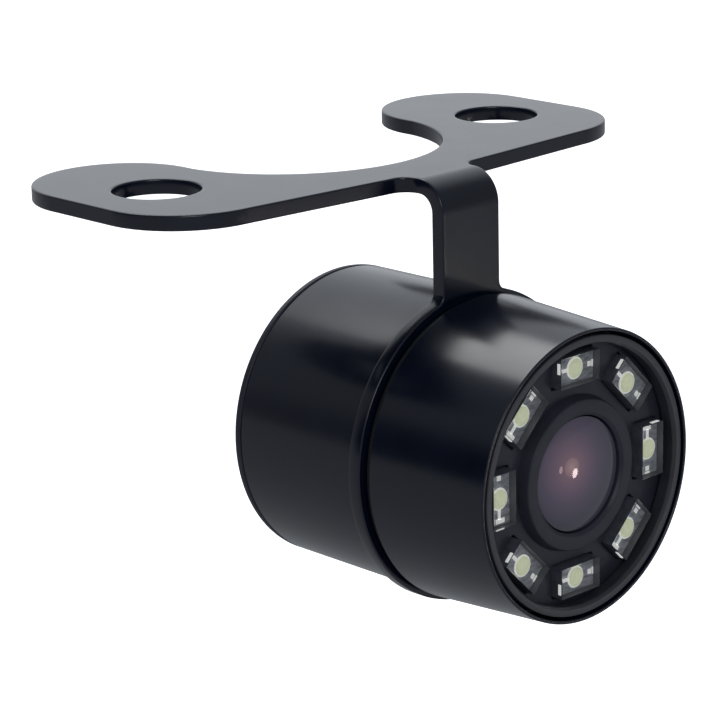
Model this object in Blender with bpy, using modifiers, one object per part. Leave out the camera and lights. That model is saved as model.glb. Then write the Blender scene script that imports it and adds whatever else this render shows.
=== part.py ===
"""Reversing camera with a ring of lamps, hung from a folded butterfly bracket.

World axes: +Z up, +X to the right, the lens looks along -Y. The origin is on the
bracket's top face, on the centre plane, so the mounting surface is the plane Z = 0.

Everything on the barrel is placed in the barrel's own axes, which an empty carries:
x to the right, y up, and z ahead, towards the lens, counted from the clamp ring.
"""

from math import acos, atan2, cos, degrees, pi, radians, sin, sqrt

import bmesh
import bpy
from mathutils import Vector

MM = 0.001

# ---------------------------------------------------------------- driving sizes
SHEET = 1.3 * MM  # bracket sheet thickness
GAP = 0.2 * MM  # clearance between pieces that rest on each other
FINE_GAP = 0.15 * MM  # the same inside the lens

HOLE_SPACING = 40.0 * MM  # between the two screw holes
HOLE_RADIUS = 3.7 * MM
HOLE_BACK = 10.0 * MM  # screw holes behind the origin
NECK_AHEAD = 5.6 * MM  # neck's middle plane ahead of the origin
AXIS_DROP = 23.1 * MM  # barrel axis below the mounting face

NECK_WIDTH = 6.68 * MM
BEND_RADIUS = 2.1 * MM  # at the middle of the sheet
CORNER_FILLET = 1.5 * MM  # wing to neck
RING_FILLET = 0.9 * MM  # neck to ring
RING_RADIUS = 13.43 * MM
RING_BORE = 10.8 * MM

WING_END_RADIUS = 7.25 * MM  # rounded rear end of a wing
WING_CORNER_RADIUS = 7.7 * MM  # outer front corner of a wing
WING_EDGE = 27.4 * MM  # outer edge of a wing from the centre plane
WING_REAR = 21.85 * MM  # rear tip of a wing behind the origin
WING_FRONT = -0.8 * MM  # front edge at the outer corner
WING_FRONT_AT_NECK = -1.9 * MM
NOTCH_RADIUS = 13.0 * MM
NOTCH_CENTRE = 15.3 * MM  # centre of the rear notch behind the origin

RIM_AHEAD = 13.52 * MM  # front rim ahead of the ring's middle plane
RIM_RADIUS = 12.35 * MM
SHOULDER_AHEAD = 1.4 * MM  # rear shoulder of the front barrel
SHOULDER_RADIUS = 13.07 * MM
SPIGOT_RADIUS = 10.6 * MM
SPIGOT_BORE = 9.3 * MM
SPIGOT_END = -4.9 * MM

REAR_BARREL_RADIUS = 12.9 * MM
SEAM_AHEAD = -14.45 * MM  # where the rear cap meets the rear barrel
SEAM_RADIUS = 12.83 * MM
CAP_FACE = -15.3 * MM

MASK_AHEAD = 11.77 * MM  # front face of the lamp mask
MASK_THICKNESS = 1.0 * MM
MASK_RADIUS = 11.7 * MM
COLLAR_AHEAD = 12.79 * MM
COLLAR_RADIUS = 6.3 * MM
COLLAR_BORE = 4.95 * MM

LAMP_COUNT = 8
LAMP_CIRCLE = 8.95 * MM
LAMP_SIZE = (4.6 * MM, 2.6 * MM)  # along the circle, across it
LAMP_AHEAD = 12.77 * MM  # front face of a lamp
LAMP_BOARD_AHEAD = 10.3 * MM  # front face of the lamp board
BOARD_THICKNESS = 0.8 * MM

LENS_RADIUS = 4.8 * MM
LENS_APEX = 12.95 * MM
LENS_EDGE_AHEAD = 12.35 * MM
LENS_HEAD_RADIUS = 4.75 * MM
LENS_THREAD_RADIUS = 3.5 * MM

INNER_BOARD_RADIUS = 8.8 * MM
INNER_BOARD_FLAT = 8.0 * MM  # top and bottom flats, which let the wires past
SENSOR_BOARD_AHEAD = -0.9 * MM  # front face
POWER_BOARD_AHEAD = -6.1 * MM  # front face

SPACER_RADIUS = 0.9 * MM
SPACER_PLACES = ((4.5 * MM, 5.3 * MM), (-4.5 * MM, 5.3 * MM), (0.0, -7.0 * MM))
HOLDER_SIZE = (14.4 * MM, 10.4 * MM)
SCREW_OFFSET = 5.75 * MM
SCREW_RADIUS = 0.6 * MM

WIRE_RADIUS = 0.4 * MM
WIRE_HEIGHT = 8.6 * MM
WIRE_OFFSET = 1.0 * MM

ROUND = 48  # segments of a large turned piece
LENS_ROUND = 32  # of the front lens and its barrel
SMALL_ROUND = 18  # of a small turned piece
PAST = 1.0 * MM  # how far a cutter runs past what it cuts

# ---------------------------------------------------------------- colours
FINISHES = {
    "black_coat": ((0.012, 0.013, 0.017), 0.32, 0.3),
    "black_plastic": ((0.012, 0.013, 0.016), 0.45, 0.0),
    "bezel_grey": ((0.045, 0.048, 0.055), 0.4, 0.2),
    "rubber": ((0.010, 0.010, 0.011), 0.75, 0.0),
    "circuit_board": ((0.010, 0.055, 0.028), 0.5, 0.0),
    "lamp": ((0.62, 0.66, 0.46), 0.15, 0.0),
    "lens_glass": ((0.06, 0.035, 0.06), 0.04, 0.0),
    "filter_glass": ((0.25, 0.45, 0.50), 0.05, 0.0),
    "dark_metal": ((0.03, 0.03, 0.033), 0.4, 0.8),
    "steel": ((0.60, 0.60, 0.62), 0.3, 1.0),
    "brass": ((0.75, 0.56, 0.25), 0.3, 1.0),
    "chip": ((0.02, 0.02, 0.022), 0.5, 0.0),
    "socket_white": ((0.80, 0.78, 0.72), 0.5, 0.0),
    "wire_red": ((0.55, 0.02, 0.02), 0.45, 0.0),
    "wire_black": ((0.015, 0.015, 0.016), 0.45, 0.0),
}


def clear_scene():
    for obj in list(bpy.data.objects):
        bpy.data.objects.remove(obj)


def new_collection(name):
    collection = bpy.data.collections.new(name)
    bpy.context.scene.collection.children.link(collection)
    return collection


def make_material(name):
    colour, roughness, metallic = FINISHES[name]
    material = bpy.data.materials.new(name)
    material.use_nodes = True
    shader = material.node_tree.nodes["Principled BSDF"]
    shader.inputs["Base Color"].default_value = (*colour, 1.0)
    shader.inputs["Roughness"].default_value = roughness
    shader.inputs["Metallic"].default_value = metallic
    return material


clear_scene()
CAMERA = new_collection("backup_camera")
CUTTERS = new_collection("cutters")
MATERIALS = {name: make_material(name) for name in FINISHES}


def new_axis(name, parent=None):
    """An empty on the barrel axis, whose z points ahead towards the lens."""
    axis = bpy.data.objects.new(name, None)
    CAMERA.objects.link(axis)
    if parent:
        axis.parent = parent
    else:
        axis.location = (0.0, -NECK_AHEAD, -AXIS_DROP)
        axis.rotation_euler = (pi / 2, 0.0, 0.0)
    return axis


CAMERA_AXIS = new_axis("camera_axis")
REAR_AXIS = new_axis("rear_shell_axis", CAMERA_AXIS)
LENS_AXIS = new_axis("lens_axis", CAMERA_AXIS)


# ---------------------------------------------------------------- shape helpers
def arc(centre, radius, start, end, steps):
    """Points on an arc, from angle start to angle end in degrees, both included."""
    points = []
    for step in range(steps + 1):
        angle = radians(start + (end - start) * step / steps)
        points.append((centre[0] + radius * cos(angle), centre[1] + radius * sin(angle)))
    return points


def circle(centre, radius, steps):
    return arc(centre, radius, 0, 360, steps)[:-1]


def finish(obj, finish_name, axis=CAMERA_AXIS):
    """Gives a mesh object its material, smooth round sides and its place in the tree."""
    if finish_name:
        obj.data.materials.clear()
        obj.data.materials.append(MATERIALS[finish_name])
    obj.data.shade_smooth()
    obj.data.set_sharp_from_angle(angle=radians(35))
    obj.parent = axis
    return obj


def as_cutter(obj, axis=CAMERA_AXIS):
    for collection in list(obj.users_collection):
        collection.objects.unlink(obj)
    CUTTERS.objects.link(obj)
    obj.parent = axis
    obj.hide_render = True
    obj.display_type = "WIRE"
    return obj


def boolean(obj, other, operation):
    modifier = obj.modifiers.new(other.name, "BOOLEAN")
    modifier.operation = operation
    modifier.object = other
    return obj


def to_mesh(curve_object):
    """Replaces a curve object by the mesh it makes, with its caps welded."""
    bpy.context.view_layer.update()
    graph = bpy.context.evaluated_depsgraph_get()
    mesh = bpy.data.meshes.new_from_object(curve_object.evaluated_get(graph))
    shape = bmesh.new()
    shape.from_mesh(mesh)
    bmesh.ops.remove_doubles(shape, verts=shape.verts, dist=1e-7)
    shape.to_mesh(mesh)
    shape.free()
    name = curve_object.name
    place = curve_object.matrix_world.copy()
    bpy.data.objects.remove(curve_object)
    obj = bpy.data.objects.new(name, mesh)
    obj.matrix_world = place
    CAMERA.objects.link(obj)
    return obj


def slab_mesh(name, outlines, rear, front):
    """A flat outline with holes, filled between two places along z."""
    curve = bpy.data.curves.new(name, "CURVE")
    curve.dimensions = "2D"
    curve.fill_mode = "BOTH"
    curve.extrude = (front - rear) / 2
    for outline in outlines:
        spline = curve.splines.new("POLY")
        spline.points.add(len(outline) - 1)
        for point, (x, y) in zip(spline.points, outline):
            point.co = (x, y, 0.0, 1.0)
        spline.use_cyclic_u = True
    obj = bpy.data.objects.new(name, curve)
    obj.location.z = (front + rear) / 2
    CAMERA.objects.link(obj)
    return to_mesh(obj)


def slab(name, outlines, rear, front, finish_name, axis=CAMERA_AXIS):
    return finish(slab_mesh(name, outlines, rear, front), finish_name, axis)


def turned(name, profile, finish_name, axis=CAMERA_AXIS, segments=ROUND, centre=(0.0, 0.0)):
    """A profile of (radius, z) points turned about z.

    A profile that starts and ends on the axis is left open there. Any other is closed.
    """
    on_axis = profile[0][0] == 0.0 and profile[-1][0] == 0.0
    pairs = list(zip(profile, profile[1:] + profile[:1]))
    doubled_area = sum(a[0] * b[1] - b[0] * a[1] for a, b in pairs)
    if doubled_area > 0:
        profile = profile[::-1]
    mesh = bpy.data.meshes.new(name)
    edges = [(i, i + 1) for i in range(len(profile) - 1)]
    if not on_axis:
        edges.append((len(profile) - 1, 0))
    mesh.from_pydata([(radius, 0.0, z) for radius, z in profile], edges, [])
    obj = bpy.data.objects.new(name, mesh)
    CAMERA.objects.link(obj)
    screw = obj.modifiers.new("turn", "SCREW")
    screw.steps = segments
    screw.render_steps = segments
    screw.use_merge_vertices = True
    screw.merge_threshold = 1e-6
    obj.location.x, obj.location.y = centre
    return finish(obj, finish_name, axis)


def ring(name, inner, outer, rear, front, finish_name, axis=CAMERA_AXIS, segments=ROUND):
    profile = [(outer, front), (outer, rear), (inner, rear), (inner, front)]
    return turned(name, profile, finish_name, axis, segments)


def disc(name, radius, rear, front, finish_name, axis=CAMERA_AXIS, centre=(0.0, 0.0)):
    profile = [(0.0, front), (radius, front), (radius, rear), (0.0, rear)]
    return turned(name, profile, finish_name, axis, SMALL_ROUND, centre)


def o_ring(name, radius, thickness, ahead, axis=CAMERA_AXIS):
    """A seal of round section, as a torus primitive."""
    bpy.ops.mesh.primitive_torus_add(
        major_radius=radius, minor_radius=thickness / 2, major_segments=ROUND, minor_segments=6
    )
    obj = bpy.context.object
    obj.name = name
    for collection in list(obj.users_collection):
        collection.objects.unlink(obj)
    CAMERA.objects.link(obj)
    obj.location.z = ahead
    return finish(obj, "rubber", axis)


def block(name, centre, size, rear, front, finish_name, axis=CAMERA_AXIS, edge=0.0):
    """A box from a cube primitive, with its upright and flat edges eased by a bevel."""
    mesh = bpy.data.meshes.new(name)
    shape = bmesh.new()
    bmesh.ops.create_cube(shape, size=1.0)
    bmesh.ops.scale(shape, vec=(size[0], size[1], front - rear), verts=shape.verts)
    shape.to_mesh(mesh)
    shape.free()
    obj = bpy.data.objects.new(name, mesh)
    obj.location = (centre[0], centre[1], (front + rear) / 2)
    CAMERA.objects.link(obj)
    finish(obj, finish_name, axis)
    if edge:
        bevel = obj.modifiers.new("edges", "BEVEL")
        bevel.width = edge
        bevel.segments = 1
    return obj


# ---------------------------------------------------------------- bracket
def blank_half():
    """Right half of the bracket's flat blank, from the notch round to the ring's foot.

    The blank lies in the plane of the mounting plate. Its first part is the plate itself.
    Past the bend line it goes on as the neck and the ring, laid out flat.
    """
    half_neck = NECK_WIDTH / 2
    wing_centre = (WING_EDGE - WING_END_RADIUS, WING_REAR - WING_END_RADIUS)
    corner_centre = (WING_EDGE - WING_CORNER_RADIUS, WING_FRONT + WING_CORNER_RADIUS)
    fillet_centre = (half_neck + CORNER_FILLET, WING_FRONT_AT_NECK - CORNER_FILLET)

    notch_end = acos((wing_centre[0] - WING_END_RADIUS) / NOTCH_RADIUS)
    points = arc((0.0, NOTCH_CENTRE), NOTCH_RADIUS, -90, -degrees(notch_end), 14)
    points += arc(wing_centre, WING_END_RADIUS, 178, 0, 22)
    points += arc(corner_centre, WING_CORNER_RADIUS, 0, -90, 12)
    points += arc(fillet_centre, CORNER_FILLET, 90, 180, 5)

    ring_centre = (0.0, ring_centre_in_blank())
    fillet_reach = RING_RADIUS + RING_FILLET
    fillet_side = half_neck + RING_FILLET
    fillet_height = sqrt(fillet_reach**2 - fillet_side**2)
    lower_fillet = (fillet_side, ring_centre[1] + fillet_height)
    leave = degrees(atan2(fillet_height, fillet_side))
    points += arc(lower_fillet, RING_FILLET, 180, 180 + leave, 4)
    points += arc(ring_centre, RING_RADIUS, leave, -90, 28)[1:]
    return points


def ring_centre_in_blank():
    bend_start = -NECK_AHEAD + BEND_RADIUS
    bend_length = BEND_RADIUS * pi / 2
    neck_length = AXIS_DROP - SHEET / 2 - BEND_RADIUS
    return bend_start - bend_length - neck_length


def folded(point):
    """Where a point of the blank's middle surface goes when the neck is bent down."""
    bend_start = -NECK_AHEAD + BEND_RADIUS
    past = bend_start - point.y
    plate_level = -SHEET / 2
    if past <= 0:
        return Vector((point.x, point.y, plate_level))
    if past < BEND_RADIUS * pi / 2:
        angle = past / BEND_RADIUS
        ahead = bend_start - BEND_RADIUS * sin(angle)
        return Vector((point.x, ahead, plate_level - BEND_RADIUS * (1 - cos(angle))))
    straight = past - BEND_RADIUS * pi / 2
    return Vector((point.x, -NECK_AHEAD, plate_level - BEND_RADIUS - straight))


def make_bracket():
    right = blank_half()
    left = [(-x, y) for x, y in reversed(right[1:-1])]
    hole_places = ((HOLE_SPACING / 2, HOLE_BACK), (-HOLE_SPACING / 2, HOLE_BACK))
    outlines = [right + left]
    outlines += [circle(place, HOLE_RADIUS, 28) for place in hole_places]
    outlines.append(circle((0.0, ring_centre_in_blank()), RING_BORE, ROUND))
    obj = slab_mesh("bracket", outlines, 0.0, 0.0)

    shape = bmesh.new()
    shape.from_mesh(obj.data)
    bend_start = -NECK_AHEAD + BEND_RADIUS
    bend_length = BEND_RADIUS * pi / 2
    bend_steps = 8
    for step in range(bend_steps + 1):
        line = Vector((0.0, bend_start - bend_length * step / bend_steps, 0.0))
        everything = shape.verts[:] + shape.edges[:] + shape.faces[:]
        bmesh.ops.bisect_plane(shape, geom=everything, plane_co=line, plane_no=(0, 1, 0))
    for vertex in shape.verts:
        vertex.co = folded(vertex.co)
    bmesh.ops.recalc_face_normals(shape, faces=shape.faces)
    shape.to_mesh(obj.data)
    shape.free()
    obj.location.z = 0.0
    thickness = obj.modifiers.new("sheet", "SOLIDIFY")
    thickness.thickness = SHEET
    thickness.offset = 0.0
    thickness.use_even_offset = True
    return finish(obj, "black_coat", None)


# ---------------------------------------------------------------- barrels
def make_front_barrel():
    lip_bore = 12.05 * MM
    shelf_ahead = 10.47 * MM
    groove = (11.1 * MM, 11.85 * MM, 9.7 * MM)
    bore = 10.75 * MM
    web_ahead = 4.0 * MM
    edge = 0.15 * MM
    profile = [
        (RIM_RADIUS - edge, RIM_AHEAD),
        (RIM_RADIUS, RIM_AHEAD - edge),
        (SHOULDER_RADIUS, SHOULDER_AHEAD + edge),
        (SHOULDER_RADIUS - edge, SHOULDER_AHEAD),
        (SPIGOT_RADIUS, SHOULDER_AHEAD),
        (SPIGOT_RADIUS, SPIGOT_END),
        (SPIGOT_BORE, SPIGOT_END),
        (SPIGOT_BORE, web_ahead),
        (bore, web_ahead),
        (bore, shelf_ahead),
        (groove[0], shelf_ahead),
        (groove[0], groove[2]),
        (groove[1], groove[2]),
        (groove[1], shelf_ahead),
        (lip_bore, shelf_ahead),
        (lip_bore, RIM_AHEAD),
    ]
    turned("front_barrel", profile, "black_coat")
    seal_radius = (groove[0] + groove[1]) / 2
    seal_thickness = 0.64 * MM
    seal_ahead = 10.15 * MM
    o_ring("face_seal", seal_radius, seal_thickness, seal_ahead)


def make_rear_barrel():
    mouth = -SHEET / 2 - GAP
    seal_pocket = (12.0 * MM, -2.05 * MM)
    thread_bore = SPIGOT_RADIUS + GAP
    thread_end = -6.0 * MM
    bore = 11.6 * MM
    edge = 0.12 * MM
    profile = [
        (REAR_BARREL_RADIUS - edge, mouth),
        (REAR_BARREL_RADIUS, mouth - edge),
        (SEAM_RADIUS, SEAM_AHEAD + edge),
        (SEAM_RADIUS - edge, SEAM_AHEAD),
        (bore, SEAM_AHEAD),
        (bore, thread_end),
        (thread_bore, thread_end),
        (thread_bore, seal_pocket[1]),
        (seal_pocket[0], seal_pocket[1]),
        (seal_pocket[0], mouth),
    ]
    turned("rear_barrel", profile, "black_coat", REAR_AXIS)

    seal_thickness = 1.0 * MM
    seal_radius = SPIGOT_RADIUS + 0.25 * MM + seal_thickness / 2
    seal_ahead = (mouth + seal_pocket[1]) / 2
    o_ring("thread_seal", seal_radius, seal_thickness, seal_ahead)


def make_rear_cap():
    plug = 11.4 * MM
    plug_ahead = -12.4 * MM
    groove = (10.6 * MM, -14.05 * MM, -12.95 * MM)
    pocket = (9.9 * MM, -14.3 * MM)
    cable_hole = 3.1 * MM
    edge = 0.25 * MM
    profile = [
        (plug, plug_ahead),
        (plug, groove[2]),
        (groove[0], groove[2]),
        (groove[0], groove[1]),
        (plug, groove[1]),
        (plug, SEAM_AHEAD - GAP),
        (SEAM_RADIUS, SEAM_AHEAD - GAP),
        (SEAM_RADIUS, CAP_FACE + edge),
        (SEAM_RADIUS - edge, CAP_FACE),
        (cable_hole, CAP_FACE),
        (cable_hole, pocket[1]),
        (pocket[0], pocket[1]),
        (pocket[0], plug_ahead),
    ]
    turned("rear_cap", profile, "black_plastic", REAR_AXIS)

    seal_radius = 11.1 * MM
    seal_thickness = 0.8 * MM
    seal_ahead = (groove[1] + groove[2]) / 2
    o_ring("cap_seal", seal_radius, seal_thickness, seal_ahead, REAR_AXIS)
    make_cable_grommet(cable_hole, pocket[1])


def make_cable_grommet(cable_hole, cap_inside):
    """A rubber bush whose neck fills the cap's hole, with a flange on each side of the cap."""
    bore = 1.9 * MM
    neck = cable_hole - GAP
    flange = 4.4 * MM
    inner_end = -13.1 * MM
    flange_rear = -16.0 * MM
    tail_radius = 3.3 * MM
    tail = -17.4 * MM
    profile = [
        (flange, inner_end),
        (flange, cap_inside + GAP),
        (neck, cap_inside + GAP),
        (neck, CAP_FACE - GAP),
        (flange, CAP_FACE - GAP),
        (flange, flange_rear),
        (tail_radius, tail),
        (bore, tail),
        (bore, inner_end),
    ]
    turned("cable_grommet", profile, "rubber", REAR_AXIS, SMALL_ROUND)


# ---------------------------------------------------------------- lamp face
def lamp_angles():
    """Lamp 1 stands 45 degrees up from the right, and the others follow anticlockwise."""
    return [2 * pi * number / LAMP_COUNT for number in range(1, LAMP_COUNT + 1)]


def place_on_lamp_circle(obj, angle):
    """Puts a block at its angle, with its long side along the circle."""
    obj.location.x = LAMP_CIRCLE * cos(angle)
    obj.location.y = LAMP_CIRCLE * sin(angle)
    obj.rotation_euler.z = angle + pi / 2


def make_mask():
    back = MASK_AHEAD - MASK_THICKNESS
    collar_foot = COLLAR_RADIUS + 0.3 * MM
    edge = 0.15 * MM
    profile = [
        (COLLAR_RADIUS - edge, COLLAR_AHEAD),
        (COLLAR_RADIUS, COLLAR_AHEAD - edge),
        (collar_foot, MASK_AHEAD),
        (MASK_RADIUS, MASK_AHEAD),
        (MASK_RADIUS, back),
        (COLLAR_BORE, back),
        (COLLAR_BORE, COLLAR_AHEAD),
    ]
    mask = turned("lamp_mask", profile, "black_plastic")
    window = (LAMP_SIZE[0] + 2 * GAP, LAMP_SIZE[1] + 2 * GAP)
    for number, angle in enumerate(lamp_angles(), 1):
        cutter = block(f"window_cut_{number}", (0, 0), window, back - PAST, MASK_AHEAD + PAST, None)
        place_on_lamp_circle(cutter, angle)
        boolean(mask, as_cutter(cutter), "DIFFERENCE")


def make_bezel():
    inner = 11.0 * MM
    outer = 11.75 * MM
    front = RIM_AHEAD - 0.1 * MM
    rear = MASK_AHEAD + 0.3 * MM
    edge = 0.2 * MM
    profile = [
        (outer - edge / 2, front),
        (outer, front - edge / 2),
        (outer, rear),
        (inner, rear),
        (inner, front - edge),
        (inner + edge, front),
    ]
    turned("bezel_ring", profile, "bezel_grey")


def make_lamps():
    board_outer = 10.5 * MM
    board_inner = 5.4 * MM
    board_rear = LAMP_BOARD_AHEAD - BOARD_THICKNESS
    ring("lamp_board", board_inner, board_outer, board_rear, LAMP_BOARD_AHEAD, "circuit_board")
    for number, angle in enumerate(lamp_angles(), 1):
        lamp = block(
            f"lamp_{number}",
            (0, 0),
            LAMP_SIZE,
            LAMP_BOARD_AHEAD + GAP,
            LAMP_AHEAD,
            "lamp",
            edge=0.1 * MM,
        )
        place_on_lamp_circle(lamp, angle)
    resistor_offset = 8.2 * MM
    resistor_size = (1.6 * MM, 3.2 * MM)
    resistor_front = board_rear - GAP
    resistor_rear = resistor_front - 0.7 * MM
    for number, side in enumerate((-1, 1), 1):
        name = f"lamp_resistor_{number}"
        centre = (side * resistor_offset, 0.0)
        block(name, centre, resistor_size, resistor_rear, resistor_front, "chip")


# ---------------------------------------------------------------- lens
def dome(radius, edge_z, apex_z, steps):
    """Profile points from the axis out to the edge, along a shallow spherical face."""
    sag = apex_z - edge_z
    sphere = (radius**2 + sag**2) / (2 * abs(sag))
    sign = 1 if sag > 0 else -1
    points = []
    for step in range(steps + 1):
        r = radius * step / steps
        depth = sphere - sqrt(sphere**2 - r**2)
        points.append((r, apex_z - sign * depth))
    return points


def make_lens():
    """The front lens sits on the lens barrel's mouth. The other pieces stack up inside it."""
    seat = 3.9 * MM
    seat_rear = 11.4 * MM
    step = 12.05 * MM
    hollow = (3.3 * MM, 12.1 * MM)
    front = dome(LENS_RADIUS, LENS_EDGE_AHEAD, LENS_APEX, 5)
    side = [(LENS_RADIUS, step), (seat, step), (seat, seat_rear)]
    back = dome(hollow[0], seat_rear, hollow[1], 3)[::-1]
    turned("front_lens", front + side + back, "lens_glass", LENS_AXIS, LENS_ROUND)

    head_front = step - FINE_GAP
    head_rear = 7.6 * MM
    body_rear = 1.7 * MM
    seat_bore = seat + FINE_GAP
    lens_bore = 3.45 * MM
    stop_ahead = 8.0 * MM
    rear_bore = 2.35 * MM
    profile = [
        (LENS_HEAD_RADIUS, head_front),
        (LENS_HEAD_RADIUS, head_rear),
        (LENS_THREAD_RADIUS, head_rear),
        (LENS_THREAD_RADIUS, body_rear),
        (rear_bore, body_rear),
        (rear_bore, stop_ahead),
        (lens_bore, stop_ahead),
        (lens_bore, seat_rear - FINE_GAP),
        (seat_bore, seat_rear - FINE_GAP),
        (seat_bore, head_front),
    ]
    turned("lens_barrel", profile, "dark_metal", LENS_AXIS, LENS_ROUND)

    inside = lens_bore - FINE_GAP
    make_lens_ring("lens_spacer", 2.6 * MM, inside, 10.3 * MM, 11.0 * MM, LENS_AXIS)
    make_inner_lens("middle_lens", inside, (10.1 * MM, 9.8 * MM), (8.9 * MM, 9.3 * MM))
    make_lens_ring("aperture_stop", 1.1 * MM, inside, 8.15 * MM, 8.45 * MM, LENS_AXIS)
    small = rear_bore - FINE_GAP
    make_inner_lens("rear_lens", small, (4.2 * MM, 3.9 * MM), (2.4 * MM, 2.7 * MM))
    lock_bore = LENS_THREAD_RADIUS + GAP
    make_lens_ring("lens_lock_ring", lock_bore, 5.4 * MM, 5.8 * MM, 6.7 * MM, CAMERA_AXIS)


def make_lens_ring(name, inner, outer, rear, front, axis):
    ring(name, inner, outer, rear, front, "dark_metal", axis, SMALL_ROUND)


def make_inner_lens(name, radius, front, rear):
    """A glass whose front and rear are each given as (apex, edge) along the axis."""
    front_face = dome(radius, front[1], front[0], 2)
    rear_face = dome(radius, rear[1], rear[0], 2)[::-1]
    turned(name, front_face + rear_face, "lens_glass", LENS_AXIS, SMALL_ROUND)


def make_lens_holder():
    base_rear = SENSOR_BOARD_AHEAD + 0.3 * MM
    base_front = 1.6 * MM
    boss_front = 5.5 * MM
    boss_radius = 5.2 * MM
    bore = LENS_THREAD_RADIUS + GAP
    cavity = (8.6 * MM, 8.0 * MM)
    cavity_front = 0.9 * MM
    holder = block("lens_holder", (0, 0), HOLDER_SIZE, base_rear, base_front, "black_plastic")
    boss = disc("boss", boss_radius, cavity_front, boss_front, None)
    boolean(holder, as_cutter(boss), "UNION")
    bore_cut = disc("bore_cut", bore, base_rear - PAST, boss_front + PAST, None)
    boolean(holder, as_cutter(bore_cut), "DIFFERENCE")
    cavity_cut = block("cavity_cut", (0, 0), cavity, base_rear - PAST, cavity_front, None)
    boolean(holder, as_cutter(cavity_cut), "DIFFERENCE")

    screw_hole = SCREW_RADIUS + FINE_GAP
    hole_end = 1.0 * MM
    screw_tip = 0.7 * MM
    head_front = SENSOR_BOARD_AHEAD - BOARD_THICKNESS - GAP
    head_rear = head_front - 0.8 * MM
    head_radius = 1.2 * MM
    head_edge = 0.3 * MM
    for number, side in enumerate((-1, 1), 1):
        place = (side * SCREW_OFFSET, 0.0)
        hole_cut = disc(f"screw_cut_{number}", screw_hole, base_rear - PAST, hole_end, None, centre=place)
        boolean(holder, as_cutter(hole_cut), "DIFFERENCE")
        profile = [
            (0.0, screw_tip),
            (SCREW_RADIUS, screw_tip),
            (SCREW_RADIUS, head_front),
            (head_radius, head_front),
            (head_radius, head_rear + head_edge),
            (head_radius - head_edge, head_rear),
            (0.0, head_rear),
        ]
        turned(f"holder_screw_{number}", profile, "steel", segments=SMALL_ROUND, centre=place)

    filter_size = (cavity[0] - 2 * GAP, cavity[1] - 2 * GAP)
    filter_rear = 0.35 * MM
    block("ir_filter", (0, 0), filter_size, filter_rear, cavity_front - GAP, "filter_glass")


# ---------------------------------------------------------------- inner boards
def board_outline():
    """A round board with a flat at the top and at the bottom."""
    corner = degrees(atan2(INNER_BOARD_FLAT, sqrt(INNER_BOARD_RADIUS**2 - INNER_BOARD_FLAT**2)))
    right = arc((0, 0), INNER_BOARD_RADIUS, -corner, corner, 18)
    left = arc((0, 0), INNER_BOARD_RADIUS, 180 - corner, 180 + corner, 18)
    return right + left


def make_sensor_board():
    rear = SENSOR_BOARD_AHEAD - BOARD_THICKNESS
    hole_radius = SCREW_RADIUS + FINE_GAP
    holes = [circle((side * SCREW_OFFSET, 0.0), hole_radius, 20) for side in (-1, 1)]
    outlines = [board_outline()] + holes
    slab("sensor_board", outlines, rear, SENSOR_BOARD_AHEAD, "circuit_board")

    sensor_size = (6.8 * MM, 6.0 * MM)
    sensor_rear = SENSOR_BOARD_AHEAD + GAP
    block("image_sensor", (0, 0), sensor_size, sensor_rear, sensor_rear + 0.7 * MM, "chip")

    mounted = rear - GAP
    chip_place = (0, -2.6 * MM)
    chip_size = (5.0 * MM, 5.0 * MM)
    block("video_chip", chip_place, chip_size, mounted - 0.9 * MM, mounted, "chip")
    crystal_place = (0, 6.2 * MM)
    crystal_size = (3.2 * MM, 2.0 * MM)
    block("clock_crystal", crystal_place, crystal_size, mounted - 0.8 * MM, mounted, "steel")


def make_power_board():
    front = POWER_BOARD_AHEAD
    rear = front - BOARD_THICKNESS
    slab("power_board", [board_outline()], rear, front, "circuit_board")
    behind_sensor_board = SENSOR_BOARD_AHEAD - BOARD_THICKNESS - GAP
    ahead_of_power_board = front + GAP
    for number, place in enumerate(SPACER_PLACES, 1):
        disc(
            f"board_spacer_{number}",
            SPACER_RADIUS,
            ahead_of_power_board,
            behind_sensor_board,
            "brass",
            centre=place,
        )
    header = ((0.0, 2.4 * MM), (7.6 * MM, 2.2 * MM))
    block("board_header", *header, ahead_of_power_board, behind_sensor_board, "chip")

    mounted = rear - GAP
    capacitor_radius = 2.0 * MM
    capacitor_place = (-4.6 * MM, -2.6 * MM)
    disc(
        "filter_capacitor",
        capacitor_radius,
        mounted - 4.6 * MM,
        mounted,
        "steel",
        centre=capacitor_place,
    )
    regulator = ((3.8 * MM, 3.9 * MM), (4.5 * MM, 2.5 * MM))
    block("voltage_regulator", *regulator, mounted - 1.5 * MM, mounted, "chip", edge=0.1 * MM)
    inductor = ((-3.9 * MM, 3.7 * MM), (3.8 * MM, 3.8 * MM))
    block("power_inductor", *inductor, mounted - 1.8 * MM, mounted, "chip", edge=0.3 * MM)
    make_cable_socket(mounted)


def make_cable_socket(mounted):
    """The board's own four-way socket, open to the rear."""
    place = (3.2 * MM, -3.4 * MM)
    size = (6.4 * MM, 4.2 * MM)
    wall = 0.6 * MM
    depth = 3.8 * MM
    socket = block("cable_socket", place, size, mounted - depth, mounted, "socket_white")
    mouth = (size[0] - 2 * wall, size[1] - 2 * wall)
    mouth_front = mounted - wall
    cutter = block("socket_cut", place, mouth, mounted - depth - PAST, mouth_front, None)
    boolean(socket, as_cutter(cutter), "DIFFERENCE")


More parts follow.
